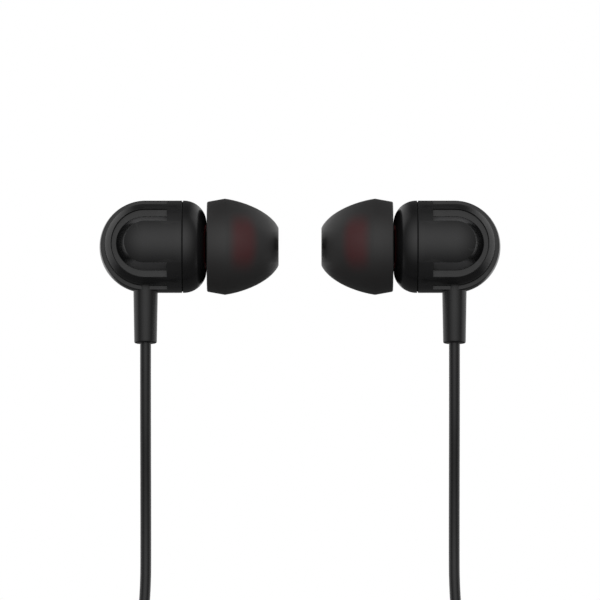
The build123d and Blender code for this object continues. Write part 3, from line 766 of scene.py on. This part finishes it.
def collar_loops(half):
    """Loops from the recess's end wall over the collar and through the inside to its rear end."""
    section = all_round(half)
    around = all_round(circle_points(half))
    loops = [[(RECESS_END, y, z) for y, z in section], [(RECESS_END, y, z) for y, z in around]]
    inside_end = BODY_R - CHAMBER_R
    walls = [
        ((RECESS_END + SEAM_REAR) / 2, BODY_R),
        (SEAM_REAR - 0.05, BODY_R),
        (SEAM_REAR - 0.015, BODY_R - 0.015),
        (SEAM_REAR, BODY_R - 0.05),
        (SEAM_REAR, MOUTH_R),
        (DRIVER_SEAT, MOUTH_R),
        (DRIVER_SEAT, CHAMBER_R),
        (BODY_R, CHAMBER_R),
    ]
    for angle in range(10, 90, 10):
        walls.append((BODY_R - CHAMBER_R * sin(radians(angle)), CHAMBER_R * cos(radians(angle))))
    for station, radius in walls:
        loops.append([(station, y * radius / BODY_R, z * radius / BODY_R) for y, z in around])
    loops.append([(inside_end, 0, 0)] * len(around))
    return loops


def rear_housing_shape():
    """Rear shell: the swept recess, then its end wall, the collar and the inside."""
    half = recess_outline()
    vertices, faces = recess_sweep(half)
    loops = collar_loops(half)
    base = len(vertices)
    size = len(loops[0])
    for loop in loops:
        vertices += loop
    for k in range(len(loops) - 1):
        for i in range(size):
            j = (i + 1) % size
            a, b = base + k * size, base + (k + 1) * size
            faces.append((a + i, a + j, b + j, b + i))
    return vertices, faces


def circle_points(half):
    """Where each point of the section meets the collar's circle: itself where it is flush."""
    flush = [i for i, (w, z) in enumerate(half) if abs(hypot(w, z) - BODY_R) < 1e-6]
    ring = list(half)
    for first, last in zip(flush, flush[1:]):
        if last - first < 2:
            continue
        lengths = [0.0]
        for i in range(first, last):
            lengths.append(lengths[-1] + hypot(half[i + 1][0] - half[i][0], half[i + 1][1] - half[i][1]))
        start = atan2(half[first][1], half[first][0])
        end = atan2(half[last][1], half[last][0])
        for i in range(first + 1, last):
            angle = start + (end - start) * lengths[i - first] / lengths[-1]
            ring[i] = (BODY_R * cos(angle), BODY_R * sin(angle))
    return ring


def front_housing_outline():
    """Nose shell, spigot and barbed nozzle, as one closed outline."""
    start = SEAM_REAR + SEAM_GAP
    groove_r = BODY_R - GROOVE_DEPTH
    bend = FRONT_FACE - NOSE_FILLET
    face_r = BODY_R - NOSE_FILLET
    inner_bend = FRONT_CHAMBER_R - face_r
    corners = arc((bend, face_r), NOSE_FILLET, 90, 0, 24)
    corners += [
        (FRONT_FACE, NECK_R, 0.1),
        (BARB_START, NECK_R),
        (BARB_START, BARB_R, 0.08),
        (NOZZLE_END - 0.3, NECK_R),
        (NOZZLE_END, NECK_R - 0.05, 0.05),
        (NOZZLE_END, MESH_R),
        (NOZZLE_END - MESH_THICK, MESH_R),
        (NOZZLE_END - MESH_THICK, NOZZLE_BORE_R),
        (bend + inner_bend, NOZZLE_BORE_R),
    ]
    corners += arc((bend, face_r), inner_bend, 0, 90, 12)
    corners += [
        (SPIGOT_START, FRONT_CHAMBER_R),
        (SPIGOT_START, SPIGOT_R),
        (start - SEAM_GAP + 0.01, SPIGOT_R),
        (start - SEAM_GAP + 0.01, groove_r),
        (start, groove_r),
        (start, BODY_R, 0.03),
    ]
    return rounded(corners)


# Ear tips.
def dome_outline():
    """Skirt and dome of the ear tip, folding into the neck, as one closed outline."""
    lip = 0.24
    widest = (TIP_WIDEST, TIP_R - TIP_MARGIN)
    inner_widest = (TIP_WIDEST, TIP_R - TIP_WALL)
    hollow_end = CORE_FRONT + 0.5
    corners = [(TIP_REAR, TIP_REAR_R - TIP_WALL, 0.1), (TIP_REAR, TIP_REAR_R, lip)]
    corners += bezier(widest, (18.05, 5.69), (21.37, 4.41), (TIP_FRONT - 0.02, TIP_MOUTH_R + 0.05), 28)
    corners += [
        (TIP_FRONT, TIP_MOUTH_R - 0.1, 0.12),
        (TIP_FRONT, TIP_BORE_R, 0.25),
        (CORE_FRONT, TIP_BORE_R),
        (CORE_FRONT, CORE_R),
    ]
    corners += bezier((hollow_end, CORE_R), (20.2, 4.5), (17.9, 5.2), inner_widest, 20)
    return rounded(corners)


def core_outline():
    """Tube of the core, with the step that seats on the barb."""
    return rounded([
        (CORE_REAR, CORE_R, 0.15),
        (CORE_FRONT, CORE_R),
        (CORE_FRONT, TIP_BORE_R),
        (CORE_STEP, TIP_BORE_R),
        (CORE_STEP, CORE_BORE_R),
        (CORE_REAR, CORE_BORE_R, 0.15),
    ])


# Cords.
def coil_points(coil):
    """Control points of a wound coil, spiralling in and out by layers, lifted over its tie."""
    total = coil["turns"] * 360 + coil["leave"] - coil["entry"]
    steps = round(total / 360 * COIL_STEPS)
    span = total / coil["layers"]
    points = []
    for k in range(1, steps):
        turned = total * k / steps
        layer = min(int(turned / span), coil["layers"] - 1)
        along = turned / span - layer
        inward = along if layer % 2 == 0 else 1 - along
        radius = coil["r_out"] + (coil["r_in"] - coil["r_out"]) * inward
        height = coil["d"] / 2 + TURN_PITCH * coil["d"] * (layer + layer_rise(along, span, layer, coil))
        angle = coil["entry"] + turned
        away = (angle - coil["tie"] + 180) % 360 - 180
        height += TIE_THICK * max(0.0, cos(radians(away))) ** 2
        radius /= cos(pi / COIL_STEPS)
        points.append((
            coil["x"] + radius * cos(radians(angle)),
            coil["y"] + radius * sin(radians(angle)),
            height,
        ))
    return points


def layer_rise(along, span, layer, coil):
    """Share of a layer by which the cord has risen, just before it reaches the next one."""
    if layer == coil["layers"] - 1:
        return 0.0
    left = (1 - along) * span
    t = max(0.0, 1 - left / RISE_ANGLE)
    return t * t * (3 - 2 * t)


def add_cord(name, route, diameter, body="earphones"):
    """Smooth cord through a route of control points."""
    data = bpy.data.curves.new(name, "CURVE")
    data.dimensions = "3D"
    spline = data.splines.new("NURBS")
    spline.points.add(len(route) - 1)
    for point, place in zip(spline.points, route):
        point.co = (*place, 1)
    spline.order_u = 3
    spline.use_endpoint_u = True
    spline.resolution_u = 8
    data.bevel_depth = diameter / 2
    data.bevel_resolution = 6
    data.use_fill_caps = True
    cord = bpy.data.objects.new(name, data)
    bpy.context.scene.collection.objects.link(cord)
    data.materials.append(MATERIALS["cord_jacket"])
    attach(cord, body)
    return cord


def other_side(points):
    """Mirror image of a route across the middle plane."""
    return [(-x, y, z) for x, y, z in points]


def branch_route():
    return BRANCH_START + coil_points(BRANCH_COIL) + BRANCH_END


def main_route():
    return MAIN_START + coil_points(MAIN_COIL) + MAIN_END


def add_cords():
    """Left and right branch cords and the main cord."""
    for side in (-1, 1):
        word = "left" if side < 0 else "right"
        route = branch_route() if side < 0 else other_side(branch_route())
        cord = add_cord(f"{word}_branch_cord", route, BRANCH_D)
        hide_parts(f"{word}_cord_upper", f"{word}_cord_coil", f"{word}_cord_lower")
    main = add_cord("main_cord", main_route(), MAIN_D)
    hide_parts("main_cord_upper", "main_cord_coil", "main_cord_lower")


# Strain reliefs follow their cords.
def line_heights(cord_name):
    """The cord's own line as (distance from the bud's axis, height) pairs in millimetres."""
    source = bpy.data.objects[cord_name]
    bare = source.copy()
    bare.data = source.data.copy()
    bare.data.bevel_depth = 0
    mesh = bpy.data.meshes.new_from_object(bare)
    heights = [(-v.co.y / MM, v.co.z / MM - AXIS_Z) for v in mesh.vertices]
    bpy.data.meshes.remove(mesh)
    bpy.data.curves.remove(bare.data)
    return heights


def droop_at(heights, distance):
    """Height of the cord's line at a distance from the bud's axis, relative to that axis."""
    for (d0, h0), (d1, h1) in zip(heights, heights[1:]):
        if d0 <= distance <= d1:
            return h0 + (h1 - h0) * (distance - d0) / (d1 - d0)
    return 0.0


def relief_shape(heights):
    """Tapered sleeve along the cord, bending with its line; its root is inside the housing."""
    root = BODY_R - RELIEF_SUNK
    slope = (RELIEF_END_R - RELIEF_ROOT_R) / (RELIEF_END - root)
    cord_r = BRANCH_D / 2 / MM
    stations = [root + (RELIEF_END - root) * i / 16 for i in range(16)]
    outline = [(d, RELIEF_ROOT_R + slope * (d - root)) for d in stations]
    outline += [(RELIEF_END, RELIEF_END_R, RELIEF_EDGE), (RELIEF_END, cord_r + 0.02, 0.05)]
    outline += [(RELIEF_END - 1, cord_r + 0.02), (root, cord_r + 0.02)]
    vertices, faces = lathe(rounded(outline), True, 96)
    return [(BODY_R + y, -d, z + droop_at(heights, d)) for d, y, z in vertices], faces


def add_buds():
    """All visible shells of both buds."""
    for side in (-1, 1):
        word = "left" if side < 0 else "right"
        heights = line_heights(f"{word}_branch_cord")
        shells = (
            ("rear_housing", rear_housing_shape(), "earphones", "housing_plastic", 0.06),
            ("front_housing", lathe(front_housing_outline(), True), "earphones", "housing_plastic", 0),
            ("ear_tip", lathe(dome_outline(), True, 160), "{}_tip", "silicone_dome", 0),
            ("ear_tip_core", lathe(core_outline(), True), "{}_tip", "silicone_core", 0),
            ("strain_relief", relief_shape(heights), "earphones", "boot_rubber", 0),
        )
        for name, shape, body, slot, bevel in shells:
            bud_piece(side, name, shape, body, slot, name, bevel)


# Ties.
def tie_band(name, coil, mirror, replaced):
    """Flat coated band round a coil's section, with its ends twisted together on top."""
    width = coil["r_out"] - coil["r_in"] + coil["d"]
    height = coil["d"] * (1 + (coil["layers"] - 1) * TURN_PITCH) + TIE_THICK
    middle = (coil["r_in"] + coil["r_out"]) / 2
    half = TIE_THICK / 2
    corner = 0.0008
    w, top = width / 2 + half, height + half
    loop = rounded([(-w, half, corner), (w, half, corner), (w, top, corner), (-w, top, corner)], 6)
    vertices, faces = [], []
    count = len(loop)
    for u, v in loop:
        centre = Vector((0, height / 2))
        out = (Vector((u, v)) - centre).normalized()
        for push, across in ((-half, -1), (half, -1), (half, 1), (-half, 1)):
            vertices.append((u + out.x * push, across * TIE_WIDTH / 2, v + out.y * push))
    for i in range(count):
        j = (i + 1) % count
        for k in range(4):
            n = (k + 1) % 4
            faces.append((4 * i + k, 4 * i + n, 4 * j + n, 4 * j + k))
    add_twist(vertices, faces, top)
    turn = radians(coil["tie"])
    placed = []
    for radial, along, z in vertices:
        x = coil["x"] + (middle + radial) * cos(turn) - along * sin(turn)
        y = coil["y"] + (middle + radial) * sin(turn) + along * cos(turn)
        placed.append((mirror * x, y, z))
    return add_mesh(name, placed, faces, "earphones", "tie", [replaced], 0.05)


def add_twist(vertices, faces, top):
    """Twisted pair of band ends lying on top of the coil."""
    steps, length, thick = 40, 0.007, 0.0006
    for strand in (0, 1):
        base = len(vertices)
        for i in range(steps + 1):
            t = i / steps
            angle = 2 * pi * 2.5 * t + pi * strand
            flare = 1 + 1.5 * max(0, t - 0.8) * 5
            centre_y = 0.00035 * flare * cos(angle)
            centre_z = top + 0.00075 + 0.00035 * sin(angle)
            for k in range(6):
                around = 2 * pi * k / 6
                vertices.append((
                    -length / 2 + length * t,
                    centre_y + thick / 2 * cos(around),
                    centre_z + thick / 2 * sin(around),
                ))
        for i in range(steps):
            for k in range(6):
                n = (k + 1) % 6
                a, b = base + 6 * i, base + 6 * (i + 1)
                faces.append((a + k, a + n, b + n, b + k))
        faces.append(tuple(base + k for k in range(6)))
        faces.append(tuple(base + 6 * steps + k for k in reversed(range(6))))


def add_ties():
    tie_band("left_tie_band", BRANCH_COIL, 1, "left_coil_tie")
    tie_band("right_tie_band", BRANCH_COIL, -1, "right_coil_tie")
    tie_band("main_tie_band", MAIN_COIL, 1, "main_coil_tie")


add_camera()
light_scene()
add_floor()
paint_cad_nodes()
add_cords()
add_buds()
add_ties()
